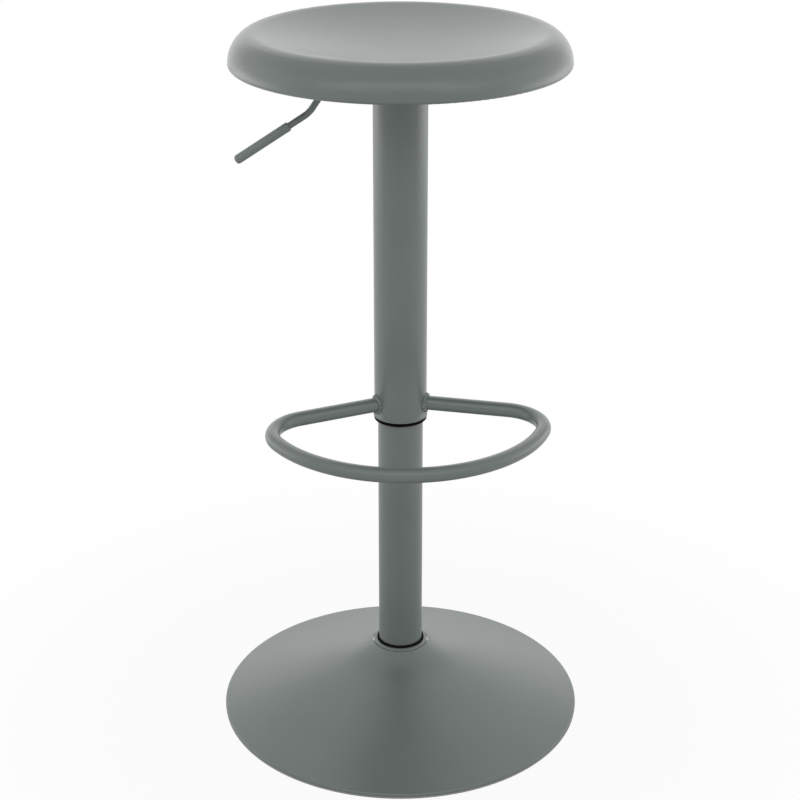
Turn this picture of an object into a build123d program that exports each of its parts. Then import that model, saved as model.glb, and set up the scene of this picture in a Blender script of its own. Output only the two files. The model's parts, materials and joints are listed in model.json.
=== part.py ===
from build123d import *
import math
import os

# Gas-lift swivel bar stool, in millimetres. The origin is on the floor under the middle of the base, +Z is
# up, the footrest points to -Y and the lever to -X. The seat is drawn at the top of its travel.

# Whole stool
seat_height = 795.3  # floor to the crest of the seat
stroke = 210.0  # height travel of the gas spring
fit_gap = 0.05  # radial clearance of round fits
seam_gap = 0.3  # clearance between pieces that meet along a curved face

# Base
base_radius = 207.5
base_height = 79.6  # floor to the top edge of the shell's neck
base_sheet = 1.5
base_rim_round = 2.5
base_rim_edge = 0.8  # straight edge under the rim's rounding
flare_radius = 110.0  # concave flare of the neck
flare_rise = 8.2  # how far the flare lifts the neck above the line of the flank
floor_ring_lip = 2.6  # thickness of the ring under the rim
floor_ring_inset = 0.3  # how far the ring stands back from the rim
floor_ring_width = 6.5

# Hub of the base
collar_radius = 31.1
collar_gap = 0.8  # open seam between the collar and the shell's neck
collar_mouth_radius = 27.1
collar_stand = 2.2  # collar above the shell's neck
collar_depth = 14.0  # length of the thick collar
collar_round = 2.0
collar_mouth_round = 0.4
mouth_depth = 14.0  # wide mouth above the taper
seal_stand = 2.0  # seal above the collar
seal_length = 10.0
seal_round = 0.8
socket_radius = 28.6
taper_angle = 1.437  # half angle of both gas spring tapers
brace_level = 16.0  # underside of the brace above the floor
brace_sheet = 4.0
brace_arm_width = 36.0
brace_centre_radius = 44.0
brace_hole_gap = 1.5

# Lower tube of the column
lift_radius = 25.0
lift_wall = 2.0
lift_foot = 14.0  # lower end above the floor
lift_end_plate = 4.0
lift_to_socket_gap = 19.0  # left between the tube's guide and the upper socket with the seat down
guide_length = 90.0
guide_flange = 3.0

# Thrust bearing and rod
rod_radius = 6.0
rod_end_radius = 4.0
rod_end_below_plate = 7.0
rod_hole_gap = 0.3
race_radius = 18.0
race_thickness = 2.0
ball_radius = 2.5
ball_circle_radius = 13.0
ball_count = 12
ball_play = 0.03
cage_thickness = 1.8
cage_margin = 1.4  # cage rim left outside and inside the balls
bump_radius = 12.5
bump_height = 25.0
bump_groove_depth = 1.6
bump_groove_height = 4.0
clip_washer_radius = 11.0
clip_washer_thickness = 1.5
clip_radius = 8.0
clip_thickness = 1.2
clip_groove_depth = 0.9
clip_mouth = 5.2

# Gas spring
cylinder_radius = 14.0
cylinder_wall = 2.5
cylinder_above_floor = 3.0  # end of the cylinder above the channel's floor
valve_block = 60.0  # closed length at the top of the cylinder
bump_clearance = 1.0  # cylinder to buffer with the seat down
rod_guide_length = 22.0
piston_above_guide = 5.0
piston_length = 15.0
piston_fit_gap = 0.1
piston_neck_radius = 4.0
piston_seal_depth = 1.8
piston_seal_width = 3.2
valve_pin_radius = 3.0
valve_pin_stand = 5.0  # pin above the end of the cylinder
valve_pin_length = 46.0
valve_pin_over_travel = 9.0  # empty bore under the pin
taper_socket_radius = 19.0
taper_socket_spigot_radius = 17.0
taper_socket_length = 40.0  # below the channel's floor

# Upper tube of the column
column_radius = 29.0
column_wall = 1.5
column_length = 373.6
column_lip = 1.0  # flare of the lower end
column_lip_height = 5.5
column_lip_land = 1.5
bush_length = 45.0
bush_flange = 4.4
bush_flange_radius = 29.2
bush_edge = 0.6

# Footrest loop
footrest_radius = 8.0
footrest_wall = 1.5
footrest_above_foot = 15.8  # centre of the tube above the upper tube's lower end
footrest_reach = 194.5  # column axis to the centre of the tube at the front
footrest_sweep = 19.1  # arms lean forward by this angle
footrest_corner = 46.8
footrest_front_radius = 154.5
weld_leg = 3.2
weld_toe = 0.4

# Seat
seat_radius = 177.7
seat_crest_radius = 151.9  # circle of the highest line
seat_sheet = 2.0
dish_depth = 21.0
crest_round = 18.8
crest_turn = 31.2  # angle of the crest's rounding towards the skirt
hem_round = 4.5
hem_lip = 8.0
reinforcement_drop = 3.5  # free space between the pan and the flat of the reinforcement
reinforcement_sheet = 2.5
reinforcement_flat = 78.0  # radius of the flat
reinforcement_bend = 12.0
reinforcement_wall_angle = 35.0
reinforcement_rim = 14.0  # width of the welded rim

# Channel between column and seat
channel_depth = 24.7
channel_sheet = 3.0
channel_half_length = 50.0
channel_half_width = 30.0  # inside
channel_flange = 24.0
channel_bend = 5.0
bolt_x = 36.0
bolt_y = 44.0
bolt_radius = 3.0
bolt_hole_gap = 0.4
bolt_head_across = 10.0
bolt_head_height = 4.0
nut_across = 10.0
nut_height = 4.5
washer_radius = 6.0
washer_thickness = 1.2

# Lever
lever_rod_radius = 3.5
lever_arm_thickness = 4.0
lever_arm_height = 8.0
lever_pivot_reach = 36.0  # pivot to the valve pin
lever_play = 0.3  # free play over the valve pin and under the reinforcement
lever_eye_radius = 6.0
lever_flat_overlap = 8.0  # flattened arm along the round rod
lever_bend_reach = 63.9
lever_elbow_reach = 95.0
lever_elbow_drop = 45.5
lever_tip_reach = 172.8
lever_tip_drop = 94.5
lever_bend_radius = 12.0
lever_elbow_radius = 30.0
grip_length = 66.4
grip_radius = 5.0
grip_round = 3.5
grip_end_wall = 4.0
grip_mouth_radius = 4.3
grip_mouth_depth = 1.5
bracket_sheet = 2.5
bracket_length = 20.0
bracket_side_gap = 0.5
bracket_end_gap = 2.0  # bracket to the round rod
pivot_radius = 2.5
pivot_head_radius = 4.5
pivot_head = 1.8
pivot_tail = 2.6
pivot_clip_thickness = 1.0
pivot_clip_radius = 4.5

# Levels worked out from the sizes above
collar_top = base_height + collar_stand
taper_top = collar_top - mouth_depth
socket_foot = brace_level + brace_sheet
plate_top = lift_foot + lift_end_plate
ball_level = plate_top + race_thickness + ball_radius + ball_play
race_level = ball_level + ball_radius + ball_play
rod_shoulder = race_level + race_thickness
bump_top = rod_shoulder + bump_height
cylinder_foot = bump_top + bump_clearance + stroke
piston_low = cylinder_foot + rod_guide_length + piston_above_guide
piston_high = piston_low + piston_length
dish_level = seat_height - dish_depth
pan_underside = dish_level - seat_sheet
flat_top = pan_underside - reinforcement_drop
flat_underside = flat_top - reinforcement_sheet
channel_floor = flat_underside - channel_depth
channel_floor_top = channel_floor + channel_sheet
column_foot = channel_floor - column_length
footrest_level = column_foot + footrest_above_foot
cylinder_top = channel_floor_top + cylinder_above_floor
valve_top = cylinder_top + valve_pin_stand
taper_socket_foot = channel_floor - taper_socket_length
lift_top = taper_socket_foot - stroke - lift_to_socket_gap - guide_flange
washer_top = flat_underside - channel_sheet
bolt_head_top = washer_top - washer_thickness
lever_level = valve_top + lever_play + lever_arm_height / 2
clip_washer_top = lift_foot - fit_gap
clip_washer_low = clip_washer_top - clip_washer_thickness
clip_top = clip_washer_low - fit_gap
clip_low = clip_top - clip_thickness

# Radii, slopes and points worked out from the sizes above
cylinder_bore = cylinder_radius - cylinder_wall
clip_groove_radius = rod_end_radius - clip_groove_depth
taper_slope = math.tan(math.radians(taper_angle))
bracket_half_width = lever_arm_thickness / 2 + bracket_side_gap + bracket_sheet
lever_elbow = Vector(-lever_elbow_reach, 0, lever_level - lever_elbow_drop)
lever_tip = Vector(-lever_tip_reach, 0, lever_level - lever_tip_drop)
grip_direction = (lever_tip - lever_elbow).normalized()

# Line of the base's flank, tangent to the rounding of the rim and flare_rise under the neck
neck_radius = collar_radius + collar_gap
rim_centre_radius = base_radius - base_rim_round
rim_centre_level = floor_ring_lip + base_rim_edge
neck_run = rim_centre_radius - neck_radius
neck_climb = base_height - rim_centre_level
flank_angle = (math.acos((flare_rise + base_rim_round) / math.hypot(neck_run, neck_climb))
               - math.atan2(neck_run, neck_climb))
flare_turn = math.acos(1 - flare_rise / flare_radius)

# Dish of the seat pan, tangent to the crest's rounding
dish_turn = 2 * math.atan(dish_depth / seat_crest_radius)
dish_radius = seat_crest_radius / math.sin(dish_turn) - crest_round

# Round and square blocks are placed by the middle of their lower end
from_end = (Align.CENTER, Align.CENTER, Align.MIN)


def tangent_path(start, heading, steps):
    """Lines (length, 0) and arcs (radius, turn) in a plane, each tangent to the last, and where they end."""
    edges = []
    point = Vector(*start)
    for size, turn in steps:
        direction = Vector(1, 0).rotate(Axis.Z, heading)
        if turn == 0:
            edges.append(Line(point, point + direction * size))
            point = edges[-1] @ 1
        else:
            edges.append(JernArc(point, direction, size, turn))
            point = edges[-1].end_of_arc
        heading += turn
    return edges, point


def beside(steps, distance):
    """Steps of the path that runs beside another, at a distance to its left."""
    moved = []
    for size, turn in steps:
        if turn > 0:
            size -= distance
        if turn < 0:
            size += distance
        moved.append((size, turn))
    return moved


def sheet_section(start, heading, steps, sheet):
    """Section of a bent sheet. The steps follow one face, and the sheet lies to their left."""
    start = Vector(*start)
    aside = start + Vector(1, 0).rotate(Axis.Z, heading + 90) * sheet
    face_edges, face_end = tangent_path(start, heading, steps)
    back_edges, back_end = tangent_path(aside, heading, beside(steps, sheet))
    return make_face(face_edges + back_edges + [Line(start, aside), Line(face_end, back_end)])


def spun(*corners):
    """Solid turned about the stool's axis from a closed outline of (radius, height, rounding) corners."""
    points = [corner[:2] for corner in corners]
    rounds = [sum(corner[2:]) for corner in corners]
    if any(rounds):
        outline = FilletPolyline(*points, radius=rounds, close=True)
    else:
        outline = Polyline(*points, close=True)
    return revolve(Plane.XZ * make_face(outline), Axis.Z)


def ring(inner_radius, outer_radius, low, high):
    """Plain ring about the axis."""
    return spun((inner_radius, low), (outer_radius, low), (outer_radius, high), (inner_radius, high))


def cylinder(radius, low, high, x=0.0, y=0.0):
    """Upright cylinder."""
    return Pos(x, y, low) * Cylinder(radius, high - low, align=from_end)


def hexagon(across, low, high, x=0.0, y=0.0):
    """Upright hexagonal prism."""
    return Pos(x, y, low) * extrude(RegularPolygon(across / 2, 6, major_radius=False), high - low)


def lift_taper_radius(level):
    """Outside radius of the lower tube, which tapers inside the socket."""
    return lift_radius - taper_slope * (taper_top - level)


def cylinder_taper_radius(level):
    """Outside radius of the gas cylinder's tapered end."""
    return cylinder_radius - taper_slope * (level - taper_socket_foot)


def make_base_shell():
    """Spun trumpet: straight edge, rounded rim, straight flank and a concave flare up to the neck."""
    rim_turn = 90 - math.degrees(flank_angle)
    along = Vector(-math.cos(flank_angle), math.sin(flank_angle))
    across = Vector(math.sin(flank_angle), math.cos(flank_angle))
    flank_start = Vector(rim_centre_radius, rim_centre_level) + across * base_rim_round
    flank = (Vector(neck_radius, base_height) - flank_start).dot(along) - flare_radius * math.sin(flare_turn)
    steps = [(base_rim_edge, 0), (base_rim_round, rim_turn), (flank, 0),
             (flare_radius, -math.degrees(flare_turn))]
    section = sheet_section((base_radius, floor_ring_lip), 90, steps, base_sheet)
    return revolve(Plane.XZ * section, Axis.Z) - cylinder(neck_radius, 0, seat_height)


def make_floor_ring():
    """Edge ring: a lip under the shell's edge and a wall inside it."""
    lip_radius = base_radius - floor_ring_inset
    wall_radius = base_radius - base_sheet - seam_gap
    return spun((lip_radius - floor_ring_width, 0), (lip_radius, 0, floor_ring_inset),
                (lip_radius, floor_ring_lip), (wall_radius, floor_ring_lip),
                (wall_radius, rim_centre_level), (lip_radius - floor_ring_width, rim_centre_level))


def make_hub_socket():
    """Collar with a wide mouth, and the tapered socket under it."""
    collar_low = collar_top - collar_depth
    return spun((collar_mouth_radius, collar_top, collar_mouth_round),
                (collar_radius, collar_top, collar_round), (collar_radius, collar_low),
                (socket_radius, collar_low), (socket_radius, socket_foot),
                (lift_taper_radius(socket_foot) + fit_gap, socket_foot), (lift_radius + fit_gap, taper_top),
                (collar_mouth_radius, taper_top))


def make_collar_seal():
    """Black ring that closes the collar's mouth round the lower tube."""
    inner = lift_radius + fit_gap
    outer = collar_mouth_radius - fit_gap
    seal_top = collar_top + seal_stand
    seal_low = seal_top - seal_length
    return spun((inner, seal_low), (outer, seal_low), (outer, seal_top, seal_round), (inner, seal_top))


def make_base_brace():
    """Flat cross from the socket's foot to the inside of the shell."""
    flank_radius = rim_centre_radius + (base_rim_round - base_sheet) * math.sin(flank_angle)
    flank_level = rim_centre_level + (base_rim_round - base_sheet) * math.cos(flank_angle)
    reach = flank_radius - (socket_foot - flank_level) / math.tan(flank_angle) - seam_gap
    cross = Rectangle(2 * base_radius, brace_arm_width) + Rectangle(brace_arm_width, 2 * base_radius)
    outline = (cross + Circle(brace_centre_radius)) & Circle(reach)
    outline -= Circle(lift_taper_radius(socket_foot) + brace_hole_gap)
    return Pos(0, 0, brace_level) * extrude(outline, brace_sheet)


def make_lift_tube():
    """Lower tube: tapered foot, end plate with the rod's hole, open top."""
    bore = lift_radius - lift_wall
    hole = rod_end_radius + rod_hole_gap
    return spun((hole, lift_foot), (lift_taper_radius(lift_foot), lift_foot), (lift_radius, taper_top),
                (lift_radius, lift_top), (bore, lift_top), (bore, taper_top),
                (lift_taper_radius(plate_top) - lift_wall, plate_top), (hole, plate_top))


def make_guide_bush():
    """Plastic guide pressed into the top of the lower tube, with a flange on the tube's end."""
    bush_radius = lift_radius - lift_wall - fit_gap
    return spun((cylinder_radius + fit_gap, lift_top - guide_length), (bush_radius, lift_top - guide_length),
                (bush_radius, lift_top), (lift_radius, lift_top), (lift_radius, lift_top + guide_flange),
                (cylinder_radius + fit_gap, lift_top + guide_flange))


def ball_places():
    """Places of the balls round the rod."""
    return PolarLocations(ball_circle_radius, ball_count)


def make_bearing_balls():
    """Balls of the thrust bearing."""
    return [Pos(0, 0, ball_level) * place * Sphere(ball_radius) for place in ball_places()]


def make_bearing_cage():
    """Flat cage with a hole for each ball."""
    low = ball_level - cage_thickness / 2
    high = ball_level + cage_thickness / 2
    margin = ball_radius + cage_margin
    cage = ring(ball_circle_radius - margin, ball_circle_radius + margin, low, high)
    for place in ball_places():
        hole = Cylinder(ball_radius + fit_gap, 2 * cage_thickness)
        cage -= Pos(0, 0, ball_level) * place * hole
    return cage


def make_bump_stop():
    """Rubber buffer with a groove round its waist."""
    waist = rod_shoulder + bump_height / 2
    inner = rod_radius + seam_gap
    return spun((inner, rod_shoulder), (bump_radius, rod_shoulder),
                (bump_radius, waist - bump_groove_height / 2), (bump_radius - bump_groove_depth, waist),
                (bump_radius, waist + bump_groove_height / 2), (bump_radius, bump_top, bump_groove_depth),
                (inner, bump_top))


def make_piston_rod():
    """Rod with a shoulder on the bearing, a clip groove at its foot and a neck for the piston."""
    foot = lift_foot - rod_end_below_plate
    groove_low = clip_low - fit_gap
    groove_high = clip_top + fit_gap
    return spun((0, foot), (rod_end_radius, foot), (rod_end_radius, groove_low),
                (clip_groove_radius, groove_low), (clip_groove_radius, groove_high),
                (rod_end_radius, groove_high), (rod_end_radius, rod_shoulder), (rod_radius, rod_shoulder),
                (rod_radius, piston_low), (piston_neck_radius, piston_low), (piston_neck_radius, piston_high),
                (0, piston_high))


def make_retaining_clip():
    """Open ring that snaps into the rod's groove."""
    clip = ring(clip_groove_radius + fit_gap, clip_radius, clip_low, clip_top)
    mouth = Box(clip_mouth, clip_radius, seat_height, align=(Align.CENTER, Align.MIN, Align.CENTER))
    return clip - mouth


def make_piston():
    """Piston with a groove for its seal."""
    piston_radius = cylinder_bore - piston_fit_gap
    groove = (piston_low + piston_high) / 2
    low, high = groove - piston_seal_width / 2, groove + piston_seal_width / 2
    inner = piston_neck_radius + fit_gap
    return spun((inner, piston_low), (piston_radius, piston_low), (piston_radius, low),
                (piston_radius - piston_seal_depth, low), (piston_radius - piston_seal_depth, high),
                (piston_radius, high), (piston_radius, piston_high), (inner, piston_high))


def make_piston_seal():
    """Seal ring in the piston's groove."""
    groove = (piston_low + piston_high) / 2
    half_width = piston_seal_width / 2 - fit_gap
    inner = cylinder_bore - piston_fit_gap - piston_seal_depth + fit_gap
    return ring(inner, cylinder_bore - fit_gap, groove - half_width, groove + half_width)


def make_gas_cylinder():
    """Pressure tube with a closed valve end, whose outside tapers into the seat's socket."""
    cavity_top = cylinder_top - valve_block
    pin_bore = valve_pin_radius + fit_gap
    bore_foot = valve_top - valve_pin_length - valve_pin_over_travel
    return spun((cylinder_bore, cylinder_foot), (cylinder_radius, cylinder_foot),
                (cylinder_radius, taper_socket_foot), (cylinder_taper_radius(cylinder_top), cylinder_top),
                (pin_bore, cylinder_top), (pin_bore, bore_foot), (0, bore_foot), (0, cavity_top),
                (cylinder_bore, cavity_top))


def make_taper_socket():
    """Cone that sits on the gas cylinder, with a spigot through the channel's floor."""
    return spun((cylinder_radius + fit_gap, taper_socket_foot), (taper_socket_radius, taper_socket_foot),
                (taper_socket_radius, channel_floor), (taper_socket_spigot_radius, channel_floor),
                (taper_socket_spigot_radius, channel_floor_top),
                (cylinder_taper_radius(channel_floor_top) + fit_gap, channel_floor_top))


def make_upper_column():
    """Upper tube with a slightly flared lower end."""
    inner = column_radius - column_wall
    return spun((inner, column_foot), (column_radius + column_lip, column_foot),
                (column_radius + column_lip, column_foot + column_lip_land),
                (column_radius, column_foot + column_lip_height), (column_radius, channel_floor),
                (inner, channel_floor))


def make_column_bush():
    """Black bush in the upper tube's lower end, with a flange that shows under it."""
    inner = lift_radius + fit_gap
    outer = column_radius - column_wall - fit_gap
    flange_low = column_foot - bush_flange
    return spun((inner, flange_low), (bush_flange_radius, flange_low, bush_edge),
                (bush_flange_radius, column_foot), (outer, column_foot), (outer, column_foot + bush_length),
                (inner, column_foot + bush_length))


def column_space():
    """Room that the outside of the upper tube takes up, with a welding gap round it."""
    lip = column_radius + column_lip + fit_gap
    outer = column_radius + fit_gap
    return spun((0, 0), (lip, 0), (lip, column_foot + column_lip_land),
                (outer, column_foot + column_lip_height), (outer, seat_height), (0, seat_height))


def arm_direction(side):
    """Direction of one arm of the footrest, away from the column."""
    sweep = math.radians(footrest_sweep)
    return Vector(side * math.cos(sweep), -math.sin(sweep))


def footrest_path():
    """Centre line of the loop: arm, corner, front arc, corner and arm, all tangent."""
    front_centre = Vector(0, footrest_front_radius - footrest_reach)
    corner_starts, corner_middles, corner_ends = {}, {}, {}
    for side in (-1, 1):
        along = arm_direction(side)
        towards_front = Vector(-side * math.sin(math.radians(footrest_sweep)),
                               -math.cos(math.radians(footrest_sweep)))
        offset_centre = towards_front * footrest_corner - front_centre
        half = offset_centre.dot(along)
        centre_distance = footrest_front_radius - footrest_corner
        arm_length = -half + math.sqrt(half ** 2 - offset_centre.dot(offset_centre) + centre_distance ** 2)
        corner_centre = along * arm_length + towards_front * footrest_corner
        outward = (corner_centre - front_centre).normalized()
        corner_starts[side] = along * arm_length
        corner_ends[side] = front_centre + outward * footrest_front_radius
        corner_middles[side] = corner_centre + (outward - towards_front).normalized() * footrest_corner
    front = Vector(0, -footrest_reach)
    inside = column_radius - column_wall
    edges = [Line(arm_direction(-1) * inside, corner_starts[-1]),
             ThreePointArc(corner_starts[-1], corner_middles[-1], corner_ends[-1]),
             ThreePointArc(corner_ends[-1], front, corner_ends[1]),
             ThreePointArc(corner_ends[1], corner_middles[1], corner_starts[1]),
             Line(corner_starts[1], arm_direction(1) * inside)]
    return Pos(0, 0, footrest_level) * Wire(edges)


def make_footrest_loop():
    """Bent tube whose ends are cut to fit the upper tube."""
    path = footrest_path()
    section = Plane(origin=path @ 0, z_dir=path % 0)
    loop = sweep(section * Circle(footrest_radius), path=path)
    loop -= sweep(section * Circle(footrest_radius - footrest_wall), path=path)
    return loop - column_space()


def make_footrest_welds():
    """Weld bead round each end of the loop."""
    beads = []
    slope = (weld_leg - weld_toe) / weld_leg
    length = weld_leg + footrest_radius
    toe_radius = footrest_radius + weld_toe
    for side in (-1, 1):
        along = arm_direction(side)
        root = along * (column_radius + weld_leg - length) + Vector(0, 0, footrest_level)
        bead = Cone(toe_radius + slope * length, toe_radius, length, align=from_end)
        bead -= Cylinder(footrest_radius + fit_gap, length, align=from_end)
        beads.append(Plane(origin=root, z_dir=along) * bead - column_space())
    return beads


def make_seat_pan():
    """Dished pan: dish, rounded crest, convex skirt and an edge turned in under it."""
    crest_angle = math.radians(crest_turn)
    skirt_run = seat_radius - seat_crest_radius - crest_round * math.sin(crest_angle)
    skirt_radius = skirt_run / (1 - math.sin(crest_angle))
    dish_degrees = math.degrees(dish_turn)
    steps = [(dish_radius, dish_degrees), (crest_round, -dish_degrees - crest_turn),
             (skirt_radius, crest_turn - 90), (hem_round, -90), (hem_lip, 0)]
    return revolve(Plane.XZ * sheet_section((0, dish_level), 0, steps, -seat_sheet), Axis.Z)


def make_seat_reinforcement():
    """Pressed dish: flat middle with bolt holes, sloping wall, and a rim that follows the pan."""
    wall = math.radians(reinforcement_wall_angle)
    rim_radius = dish_radius + seat_sheet + fit_gap
    sphere_centre = Vector(0, dish_level + dish_radius)
    along = Vector(math.cos(wall), math.sin(wall))
    below = Vector(math.sin(wall), -math.cos(wall))
    wall_start = Vector(reinforcement_flat, flat_top + reinforcement_bend) + below * reinforcement_bend
    reach = wall_start + below * reinforcement_bend - sphere_centre
    half = reach.dot(along)
    bend_distance = rim_radius + reinforcement_bend
    wall_length = -half - math.sqrt(half ** 2 - reach.dot(reach) + bend_distance ** 2)
    bend_centre = wall_start + along * wall_length + below * reinforcement_bend
    rim_slope = math.degrees(math.asin(bend_centre.X / bend_distance))
    steps = [(reinforcement_flat, 0), (reinforcement_bend, reinforcement_wall_angle), (wall_length, 0),
             (reinforcement_bend, rim_slope - reinforcement_wall_angle),
             (rim_radius, math.degrees(reinforcement_rim / rim_radius))]
    dish = revolve(Plane.XZ * sheet_section((0, flat_top), 0, steps, -reinforcement_sheet), Axis.Z)
    return cut_bolt_holes(dish)


def bolt_places():
    """Centres of the four seat bolts."""
    return [(x, y) for x in (-bolt_x, bolt_x) for y in (-bolt_y, bolt_y)]


def cut_bolt_holes(piece):
    """Piece with the four seat bolts' holes through it."""
    for x, y in bolt_places():
        piece -= cylinder(bolt_radius + bolt_hole_gap, 0, seat_height, x, y)
    return piece


def make_seat_channel():
    """Folded hat channel along X: flanges bolted under the seat, floor welded on the column."""
    flange = channel_flange - channel_bend
    wall = channel_depth - 2 * channel_sheet - 2 * channel_bend
    outer_bend = channel_bend + channel_sheet
    side = [(flange, 0), (outer_bend, -90), (wall, 0), (channel_bend, 90)]
    floor = [(2 * (channel_half_width - channel_bend), 0)]
    edge = -(channel_half_width + channel_sheet + channel_flange)
    section = sheet_section((edge, flat_underside), 0, side + floor + side[::-1], -channel_sheet)
    channel = extrude(Plane.YZ * section, channel_half_length, both=True)
    channel -= cylinder(taper_socket_spigot_radius + fit_gap, 0, flat_underside)
    return cut_bolt_holes(channel)


def make_weld_nuts():
    """Nuts welded on top of the reinforcement."""
    nuts = []
    for x, y in bolt_places():
        nut = hexagon(nut_across, flat_top, flat_top + nut_height, x, y)
        nuts.append(nut - cylinder(bolt_radius + fit_gap, 0, seat_height, x, y))
    return nuts


def make_seat_washers():
    """Washers under the bolt heads."""
    washers = []
    for x, y in bolt_places():
        disc = cylinder(washer_radius, bolt_head_top, washer_top, x, y)
        washers.append(disc - cylinder(bolt_radius + bolt_hole_gap, 0, seat_height, x, y))
    return washers


def make_seat_bolts():
    """Hexagon bolts from below, through channel and reinforcement into the nuts."""
    bolts = []
    for x, y in bolt_places():
        head = hexagon(bolt_head_across, bolt_head_top - bolt_head_height, bolt_head_top, x, y)
        bolts.append(head + cylinder(bolt_radius, bolt_head_top, flat_top + nut_height, x, y))
    return bolts


def plate(outline, thickness):
    """Upright plate along X, centred on the lever's plane, from an outline of (x, height)."""
    return extrude(Plane.XZ * outline, thickness / 2, both=True)


def along_pivot(radius, start, end):
    """Round piece along the lever's pivot, between two distances from the lever's plane."""
    pivot = Pos(-lever_pivot_reach, start, lever_level) * Rot(-90, 0, 0)
    return pivot * Cylinder(radius, end - start, align=from_end)


def cut_pivot_hole(piece):
    """Piece with the pivot pin's hole through it."""
    return piece - along_pivot(pivot_radius + fit_gap, -bracket_half_width, bracket_half_width)


def make_lever_bracket():
    """U bracket on the channel's floor, with two ears for the pivot pin."""
    ear_foot = Rectangle(bracket_length, bracket_sheet)
    ear_foot = Pos(-lever_pivot_reach, channel_floor_top + bracket_sheet / 2) * ear_foot
    ear_eye = Pos(-lever_pivot_reach, lever_level) * Circle(lever_eye_radius)
    bracket = plate(make_hull(ear_foot.edges() + ear_eye.edges()), 2 * bracket_half_width)
    slot = Box(2 * bracket_length, 2 * (bracket_half_width - bracket_sheet), seat_height, align=from_end)
    bracket -= Pos(-lever_pivot_reach, 0, channel_floor_top + bracket_sheet) * slot
    return cut_pivot_hole(bracket)


def make_lever_pivot_pin():
    """Headed pin through the bracket's ears."""
    head = along_pivot(pivot_head_radius, -bracket_half_width - pivot_head, -bracket_half_width)
    return head + along_pivot(pivot_radius, -bracket_half_width, bracket_half_width + pivot_tail)


def make_pivot_clip():
    """Push-on washer at the pin's far end."""
    clip_end = bracket_half_width + pivot_clip_thickness
    clip = along_pivot(pivot_clip_radius, bracket_half_width, clip_end)
    return clip - along_pivot(pivot_radius + fit_gap, bracket_half_width, clip_end)


def make_lever_rod():
    """Flattened arm with its pivot eye and nose, and the round rod with two bends."""
    nose_low = valve_top + lever_play
    nose_high = flat_underside - lever_play
    rod_start = lever_pivot_reach + bracket_length / 2 + bracket_end_gap
    arm_end = rod_start + lever_flat_overlap
    nose = Pos(0, (nose_low + nose_high) / 2) * Circle((nose_high - nose_low) / 2)
    eye = Pos(-lever_pivot_reach, lever_level) * Circle(lever_eye_radius)
    arm = Pos(-arm_end / 2, lever_level) * SlotOverall(arm_end + lever_arm_height, lever_arm_height)
    flat = cut_pivot_hole(plate(arm + nose + eye, lever_arm_thickness))
    rod_end = lever_tip - grip_direction * (grip_end_wall + fit_gap)
    path = FilletPolyline((-rod_start, 0, lever_level), (-lever_bend_reach, 0, lever_level), lever_elbow,
                          rod_end, radius=[lever_bend_radius, lever_elbow_radius])
    section = Plane(origin=path @ 0, z_dir=path % 0) * Circle(lever_rod_radius)
    return flat + sweep(section, path=path)


def make_lever_grip():
    """Sleeve on the lever's end, closed and rounded at its tip."""
    mouth = Plane(origin=lever_tip - grip_direction * grip_length, z_dir=grip_direction)
    grip = Cylinder(grip_radius, grip_length, align=from_end)
    grip = fillet(grip.edges().group_by(Axis.Z)[-1], grip_round)
    grip -= Cylinder(lever_rod_radius + fit_gap, grip_length - grip_end_wall, align=from_end)
    grip -= Cylinder(grip_mouth_radius, grip_mouth_depth, align=from_end)
    return mouth * grip


nodes = {
    "base_shell": make_base_shell(),
    "floor_ring": make_floor_ring(),
    "hub_socket": make_hub_socket(),
    "collar_seal": make_collar_seal(),
    "base_brace": make_base_brace(),
    "lift_tube": make_lift_tube(),
    "guide_bush": make_guide_bush(),
    "bearing_lower_washer": ring(rod_end_radius + rod_hole_gap, race_radius, plate_top,
                                 plate_top + race_thickness),
    "bearing_balls": make_bearing_balls(),
    "bearing_cage": make_bearing_cage(),
    "bearing_upper_washer": ring(rod_end_radius + fit_gap, race_radius, race_level, rod_shoulder),
    "bump_stop": make_bump_stop(),
    "piston_rod": make_piston_rod(),
    "clip_washer": ring(rod_end_radius + fit_gap, clip_washer_radius, clip_washer_low, clip_washer_top),
    "retaining_clip": make_retaining_clip(),
    "piston": make_piston(),
    "piston_seal": make_piston_seal(),
    "gas_cylinder": make_gas_cylinder(),
    "rod_guide": ring(rod_radius + fit_gap, cylinder_bore - fit_gap, cylinder_foot,
                      cylinder_foot + rod_guide_length),
    "taper_socket": make_taper_socket(),
    "upper_column": make_upper_column(),
    "column_bush": make_column_bush(),
    "footrest_loop": make_footrest_loop(),
    "footrest_welds": make_footrest_welds(),
    "seat_pan": make_seat_pan(),
    "seat_reinforcement": make_seat_reinforcement(),
    "seat_channel": make_seat_channel(),
    "weld_nuts": make_weld_nuts(),
    "seat_washers": make_seat_washers(),
    "seat_bolts": make_seat_bolts(),
    "lever_bracket": make_lever_bracket(),
    "lever_pivot_pin": make_lever_pivot_pin(),
    "pivot_clip": make_pivot_clip(),
    "lever_rod": make_lever_rod(),
    "lever_grip": make_lever_grip(),
    "valve_pin": cylinder(valve_pin_radius, valve_top - valve_pin_length, valve_top),
}

os.makedirs("parts", exist_ok=True)
for name, shape in nodes.items():
    pieces = shape if isinstance(shape, list) else [shape]
    solids = [solid for piece in pieces for solid in piece.solids()]
    whole = solids[0] if len(solids) == 1 else Compound(children=solids)
    export_step(whole, f"parts/{name}.step")
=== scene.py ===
import json
import math

import bpy
from mathutils import Matrix, Vector


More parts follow.
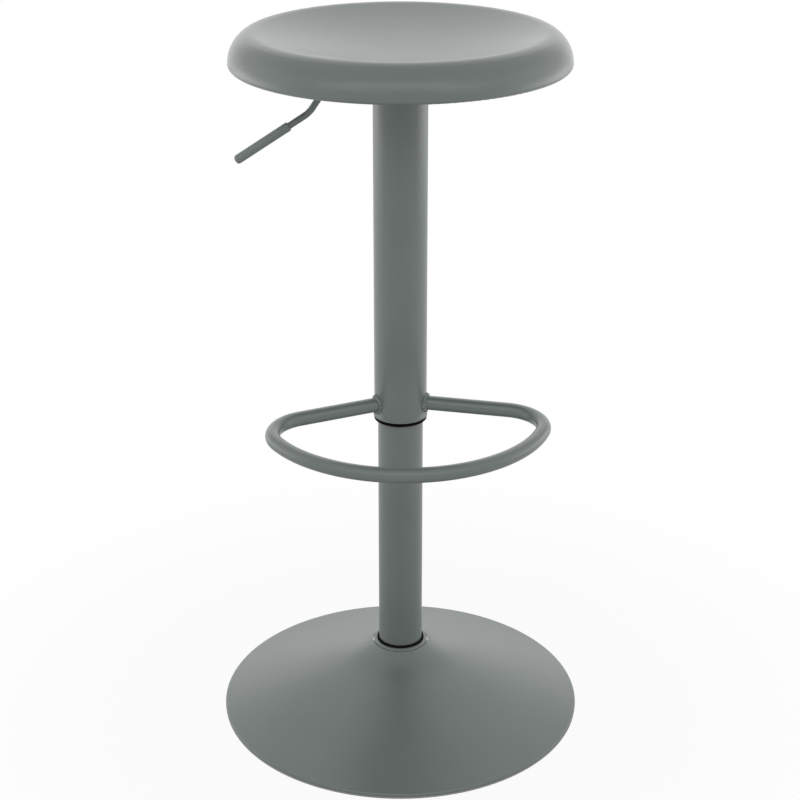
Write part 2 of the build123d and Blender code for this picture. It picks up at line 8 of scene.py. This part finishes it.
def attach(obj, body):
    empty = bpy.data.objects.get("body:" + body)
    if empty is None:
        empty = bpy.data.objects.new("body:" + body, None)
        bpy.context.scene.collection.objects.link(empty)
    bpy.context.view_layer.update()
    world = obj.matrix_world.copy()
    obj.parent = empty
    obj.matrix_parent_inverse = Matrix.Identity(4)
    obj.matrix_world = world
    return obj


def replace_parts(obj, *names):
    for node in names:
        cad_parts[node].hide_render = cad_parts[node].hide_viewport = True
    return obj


# Bar stool in a white studio. Everything is in metres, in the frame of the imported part.

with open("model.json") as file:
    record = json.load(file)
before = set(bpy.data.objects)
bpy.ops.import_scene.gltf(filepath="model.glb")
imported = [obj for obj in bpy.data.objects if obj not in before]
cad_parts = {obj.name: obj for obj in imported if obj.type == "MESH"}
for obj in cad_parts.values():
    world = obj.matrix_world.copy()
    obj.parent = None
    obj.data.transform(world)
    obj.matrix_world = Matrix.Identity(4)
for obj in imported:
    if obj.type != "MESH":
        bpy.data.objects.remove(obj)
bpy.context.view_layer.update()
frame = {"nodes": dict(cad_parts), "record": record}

SIDES = (-1, 1)  # left and right, seen from the front
WHITE = (1, 1, 1, 1)

# Camera, fitted to the outlines in the photograph
IMAGE_SIZE = 800
FOCAL_PIXELS = 1799.7
CAMERA_RANGE = 1.8394
CAMERA_HEIGHT = 1.1688
CAMERA_PITCH = math.radians(23.107)
CAMERA_YAW = math.radians(0.016)
STOOL_TURN = math.radians(6.1)  # from the stool's front round to the camera
CAMERA_SIDE = Matrix.Rotation(-STOOL_TURN, 4, "Z")
SENSOR = 36.0  # mm

# Weld beads between footrest and upper tube
COLUMN_RADIUS = 0.029
FOOTREST_RADIUS = 0.008
FOOTREST_LEVEL = 0.3838
FOOTREST_SWEEP = math.radians(19.1)  # arms lean forward by this angle
BEAD_RADIUS = 0.003
BEAD_ROOT = 0.0005  # depth of the bead's root inside the corner
BEAD_STEPS = 144
BEAD_SIDES = 10
BEAD_FIRST = math.radians(-5)  # section from the footrest's face ...
BEAD_LAST = math.radians(94)  # ... round to the column's
BEAD_WRAP = math.radians(17)  # further round where the column's face falls away
BEAD_SHARE = 0.68  # size between ripples, as a share of the radius
BEAD_LUMPS = ((0.12, 2, 1.0), (0.1, 5, 2.1))  # share, waves and phase of slow changes in size
BEAD_RIPPLES = 13
RIPPLE_SHARE = 0.42
RIPPLE_BOW = 0.9

# Surfaces: scale and detail of the noises, and what they do
FINE_GRAIN = (1300.0, 2.0)
ORANGE_PEEL = (240.0, 3.0)
COAT_MOTTLE = (11.0, 4.0)
DRAWN_MARKS = (420.0, 4.0)
METAL_MOTTLE = (60.0, 3.0)
NOISE_LOW = 0.3
NOISE_HIGH = 0.7
COAT_TINTS = (0.965, 1.035)
METAL_TINTS = (0.9, 1.05)
COAT_UNEVEN = (-0.02, 0.02)  # change of roughness
METAL_UNEVEN = (-0.06, 0.08)
PEEL_DEPTH = 0.0004
GRAIN_DEPTH = 0.0002
MARK_DEPTH = 0.0001
MARK_STRENGTH = 0.12

# Colour, roughness, grain, orange peel and specular level
PAINT = (0.253, 0.298, 0.279)
GRIP_TINT = 1.22
GRIP_PAINT = tuple(channel * GRIP_TINT for channel in PAINT)
COATINGS = {
    "powder_coat": (PAINT, 0.32, 0.04, 0.04, 0.75),
    "grip": (GRIP_PAINT, 0.35, 0.02, 0.02, 0.75),
    "edge_ring": ((0.60, 0.62, 0.61), 0.4, 0.05, 0.05, 0.4),
    "black_plastic": ((0.004, 0.004, 0.004), 0.6, 0.08, 0.05, 0.05),
    "rubber": ((0.008, 0.008, 0.008), 0.8, 0.2, 0.1, 0.05),
    "cylinder_black": ((0.018, 0.018, 0.019), 0.35, 0.06, 0.08, 0.4),
}
# Colour, roughness and stretch of the marks
METALS = {
    "zinc_steel": ((0.62, 0.63, 0.64), 0.34, (1, 1, 1)),
    "chrome_steel": ((0.75, 0.76, 0.78), 0.14, (1, 1, 0.1)),
    "spring_steel": ((0.2, 0.2, 0.215), 0.4, (1, 1, 1)),
    "aluminium": ((0.7, 0.7, 0.72), 0.32, (0.2, 0.2, 3)),
}

# Studio
FILL_LIGHT = 0.22
FLOOR_RADIUS = 9.0
FLOOR_CORNERS = 96
FLOOR_COLOUR = (0.75, 0.75, 0.75, 1)
FADE_START = 0.2  # distance from the stool's axis
CAMERA_WHITE = (0.94, 0.75)  # white share near the stool, and where it is full
MIRROR_WHITE = (0.45, 1.0)  # the same in reflections

# Lamps: name, place, target, width, height and power
MIDDLE_LAMPS = (
    ("back_top", (0.0, 1.9, 2.3), (0, 0, 0.4), 2.6, 1.4, 4.7),
    ("back_low", (0.0, 2.4, 1.0), (0, 0, 0.5), 3.0, 1.6, 6.8),
    ("front_high", (0.0, -2.2, 2.3), (0, 0, 0.5), 3.2, 1.0, 7.4),
)
SIDE_LAMPS = (
    ("side", (2.3, 0.2, 1.0), (0, 0, 0.5), 1.8, 2.0, 3.7),
    ("side_front", (1.7, -1.9, 1.8), (0, 0, 0.5), 1.4, 0.9, 2.5),
    ("side_low", (2.1, 0.7, 0.35), (0, 0, 0.3), 2.0, 0.6, 4.2),
    ("side_back", (1.9, 1.7, 0.6), (0, 0, 0.3), 1.6, 1.0, 1.4),
)


class Nodes:
    """Node tree of a new material, with short calls for the nodes used here."""

    def __init__(self, name):
        self.material = bpy.data.materials.new(name)
        self.material.use_nodes = True
        self.tree = self.material.node_tree
        self.shader = self.tree.nodes["Principled BSDF"]
        self.place = self.add("ShaderNodeTexCoord").outputs["Object"]

    def add(self, kind, **settings):
        node = self.tree.nodes.new(kind)
        for key, value in settings.items():
            setattr(node, key, value)
        return node

    def link(self, output, socket):
        self.tree.links.new(output, socket)

    def noise(self, scale, detail, stretch=(1, 1, 1)):
        mapping = self.add("ShaderNodeMapping")
        mapping.inputs["Scale"].default_value = stretch
        self.link(self.place, mapping.inputs["Vector"])
        texture = self.add("ShaderNodeTexNoise")
        texture.inputs["Scale"].default_value = scale
        texture.inputs["Detail"].default_value = detail
        self.link(mapping.outputs["Vector"], texture.inputs["Vector"])
        return texture.outputs["Fac"]

    def spread(self, value, low, high):
        """Middle of a noise's range spread between low and high."""
        node = self.add("ShaderNodeMapRange")
        node.inputs["From Min"].default_value = NOISE_LOW
        node.inputs["From Max"].default_value = NOISE_HIGH
        node.inputs["To Min"].default_value = low
        node.inputs["To Max"].default_value = high
        self.link(value, node.inputs["Value"])
        return node.outputs["Result"]

    def mottle(self, noise, colour, tints):
        """Base colour that wanders between two tints of the colour."""
        node = self.add("ShaderNodeMix", data_type="RGBA")
        for socket, factor in zip("AB", tints):
            tinted = [channel * factor for channel in colour]
            node.inputs[socket].default_value = (*tinted, 1)
        self.link(self.spread(noise, 0.0, 1.0), node.inputs["Factor"])
        self.link(node.outputs["Result"], self.shader.inputs["Base Color"])

    def uneven(self, noise, roughness, change):
        """Roughness that follows a noise."""
        low, high = change
        spread = self.spread(noise, roughness + low, roughness + high)
        self.link(spread, self.shader.inputs["Roughness"])

    def bump(self, *layers):
        """Bump from (height, strength, depth) layers, coarse ones first."""
        normal = None
        for height, strength, depth in layers:
            node = self.add("ShaderNodeBump")
            node.inputs["Strength"].default_value = strength
            node.inputs["Distance"].default_value = depth
            self.link(height, node.inputs["Height"])
            if normal:
                self.link(normal, node.inputs["Normal"])
            normal = node.outputs["Normal"]
        self.link(normal, self.shader.inputs["Normal"])


def coating(name, colour, roughness, grain, peel, specular):
    """Painted or moulded surface: mottled colour, fine grain and orange peel."""
    nodes = Nodes(name)
    fine = nodes.noise(*FINE_GRAIN)
    middle = nodes.noise(*ORANGE_PEEL)
    broad = nodes.noise(*COAT_MOTTLE)
    nodes.mottle(broad, colour, COAT_TINTS)
    nodes.uneven(broad, roughness, COAT_UNEVEN)
    nodes.shader.inputs["Specular IOR Level"].default_value = specular
    nodes.bump((middle, peel, PEEL_DEPTH), (fine, grain, GRAIN_DEPTH))
    return nodes.material


def metal(name, colour, roughness, stretch):
    """Bare or plated metal with fine marks drawn out along one direction."""
    nodes = Nodes(name)
    marks = nodes.noise(*DRAWN_MARKS, stretch)
    broad = nodes.noise(*METAL_MOTTLE)
    nodes.mottle(broad, colour, METAL_TINTS)
    nodes.uneven(marks, roughness, METAL_UNEVEN)
    nodes.shader.inputs["Metallic"].default_value = 1.0
    nodes.bump((marks, MARK_STRENGTH, MARK_DEPTH))
    return nodes.material


def weld_bead(side):
    """Rippled bead along the line where one end of the footrest meets the upper tube."""
    along = Vector((side * math.cos(FOOTREST_SWEEP), -math.sin(FOOTREST_SWEEP), 0))
    across = Vector((-along.y, along.x, 0))
    points = []
    for step in range(BEAD_STEPS):
        turn = 2 * math.pi * step / BEAD_STEPS
        outward = across * math.cos(turn) + Vector((0, 0, math.sin(turn)))
        reach = math.sqrt(COLUMN_RADIUS ** 2 - (FOOTREST_RADIUS * math.cos(turn)) ** 2)
        corner = Vector((0, 0, FOOTREST_LEVEL)) + along * reach + outward * FOOTREST_RADIUS
        points.append(corner - (along + outward) * BEAD_ROOT)
        sweep = BEAD_LAST + BEAD_WRAP * math.cos(turn) ** 2 - BEAD_FIRST
        lump = BEAD_SHARE
        for share, waves, phase in BEAD_LUMPS:
            lump += share * math.sin(waves * turn + phase * side)
        for spot in range(BEAD_SIDES):
            angle = BEAD_FIRST + sweep * spot / (BEAD_SIDES - 1)
            bow = RIPPLE_BOW * math.cos(2 * angle)
            ripple = abs(math.sin(BEAD_RIPPLES * turn / 2 + bow))
            size = BEAD_RADIUS * (lump + RIPPLE_SHARE * ripple)
            points.append(corner + (along * math.cos(angle) + outward * math.sin(angle)) * size)
    ring = BEAD_SIDES + 1
    faces = []
    for step in range(BEAD_STEPS):
        here = step * ring
        ahead = (step + 1) % BEAD_STEPS * ring
        for spot in range(ring):
            beside = (spot + 1) % ring
            faces.append((here + spot, here + beside, ahead + beside, ahead + spot))
    mesh = bpy.data.meshes.new("weld_bead")
    mesh.from_pydata(points, [], faces)
    mesh.validate()
    mesh.shade_smooth()
    mesh.materials.append(materials["powder_coat"])
    bead = bpy.data.objects.new("weld_left" if side < 0 else "weld_right", mesh)
    bpy.context.scene.collection.objects.link(bead)
    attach(bead, "seat")
    return bead


def combine(tree, operation, first, second):
    """Output of a math node on two outputs."""
    node = tree.nodes.new("ShaderNodeMath")
    node.operation = operation
    tree.links.new(first, node.inputs[0])
    tree.links.new(second, node.inputs[1])
    return node.outputs["Value"]


def ray_kinds(tree):
    """Outputs that are 1 for rays from the camera, and for reflected or transmitted rays."""
    rays = tree.nodes.new("ShaderNodeLightPath").outputs
    mirrored = combine(tree, "MAXIMUM", rays["Is Glossy Ray"], rays["Is Transmission Ray"])
    return rays["Is Camera Ray"], mirrored


def mix_shaders(tree, factor, first, second, target):
    """Mix of two shaders' outputs, as the surface of the target node."""
    mix = tree.nodes.new("ShaderNodeMixShader")
    tree.links.new(factor, mix.inputs["Fac"])
    tree.links.new(first, mix.inputs[1])
    tree.links.new(second, mix.inputs[2])
    tree.links.new(mix.outputs["Shader"], tree.nodes[target].inputs["Surface"])


def world_background():
    """White to the camera and in reflections, and a dim even light on surfaces."""
    world = bpy.data.worlds.new("studio")
    world.use_nodes = True
    tree = world.node_tree
    seen = tree.nodes["Background"]
    seen.inputs["Color"].default_value = WHITE
    fill = tree.nodes.new("ShaderNodeBackground")
    fill.inputs["Color"].default_value = WHITE
    fill.inputs["Strength"].default_value = FILL_LIGHT
    mix_shaders(tree, combine(tree, "MAXIMUM", *ray_kinds(tree)),
                fill.outputs["Background"], seen.outputs["Background"], "World Output")
    bpy.context.scene.world = world


def studio_floor():
    """Pale floor that takes a shadow near the stool and turns plain white further away."""
    bpy.ops.mesh.primitive_circle_add(vertices=FLOOR_CORNERS, radius=FLOOR_RADIUS,
                                      fill_type="NGON")
    floor = bpy.context.object
    floor.name = "floor"
    material = bpy.data.materials.new("floor_white")
    material.use_nodes = True
    tree = material.node_tree
    tree.nodes.remove(tree.nodes["Principled BSDF"])
    matt = tree.nodes.new("ShaderNodeBsdfDiffuse")
    matt.inputs["Color"].default_value = FLOOR_COLOUR
    white = tree.nodes.new("ShaderNodeEmission")
    place = tree.nodes.new("ShaderNodeTexCoord")
    distance = tree.nodes.new("ShaderNodeVectorMath")
    distance.operation = "LENGTH"
    tree.links.new(place.outputs["Object"], distance.inputs[0])
    shares = []
    for seen, (near, full) in zip(ray_kinds(tree), (CAMERA_WHITE, MIRROR_WHITE)):
        fade = tree.nodes.new("ShaderNodeMapRange")
        fade.interpolation_type = "SMOOTHSTEP"
        fade.inputs["From Min"].default_value = FADE_START
        fade.inputs["From Max"].default_value = full
        fade.inputs["To Min"].default_value = near
        tree.links.new(distance.outputs["Value"], fade.inputs["Value"])
        shares.append(combine(tree, "MULTIPLY", seen, fade.outputs["Result"]))
    mix_shaders(tree, combine(tree, "MAXIMUM", *shares),
                matt.outputs["BSDF"], white.outputs["Emission"], "Material Output")
    floor.data.materials.append(material)


def softbox(name, place, target, width, height, power):
    """Area lamp aimed at a point, in a rig that faces the camera's side of the stool."""
    lamp = bpy.data.lights.new(name, "AREA")
    lamp.shape = "RECTANGLE"
    lamp.size = width
    lamp.size_y = height
    lamp.energy = power
    holder = bpy.data.objects.new(name, lamp)
    aim = (Vector(target) - Vector(place)).to_track_quat("-Z", "Y").to_matrix().to_4x4()
    holder.matrix_world = CAMERA_SIDE @ Matrix.Translation(place) @ aim
    bpy.context.scene.collection.objects.link(holder)


def photo_camera():
    """Camera at the photograph's place, STOOL_TURN round the stool from its front."""
    camera = bpy.data.cameras.new("camera")
    camera.sensor_fit = "HORIZONTAL"
    camera.sensor_width = SENSOR
    camera.lens = FOCAL_PIXELS / IMAGE_SIZE * SENSOR
    holder = bpy.data.objects.new("camera", camera)
    away = Matrix.Translation((0, -CAMERA_RANGE, CAMERA_HEIGHT))
    tilt = Matrix.Rotation(math.pi / 2 - CAMERA_PITCH, 4, "X")
    aim = Matrix.Rotation(CAMERA_YAW, 4, "Z") @ tilt
    holder.matrix_world = CAMERA_SIDE @ away @ aim
    bpy.context.scene.collection.objects.link(holder)
    bpy.context.scene.camera = holder


materials = {name: coating(name, *look) for name, look in COATINGS.items()}
materials.update({name: metal(name, *look) for name, look in METALS.items()})
for subpart in frame["record"]["subparts"]:
    for slot in frame["nodes"][subpart["node"]].material_slots:
        slot.material = materials[subpart["material_slot"]]
for side in SIDES:
    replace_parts(weld_bead(side), "footrest_welds")

world_background()
studio_floor()
for lamp in MIDDLE_LAMPS:
    softbox(*lamp)
for side in SIDES:
    for name, (x, y, z), *rest in SIDE_LAMPS:
        softbox(name, (side * x, y, z), *rest)
photo_camera()
bpy.context.scene.view_settings.view_transform = "Standard"
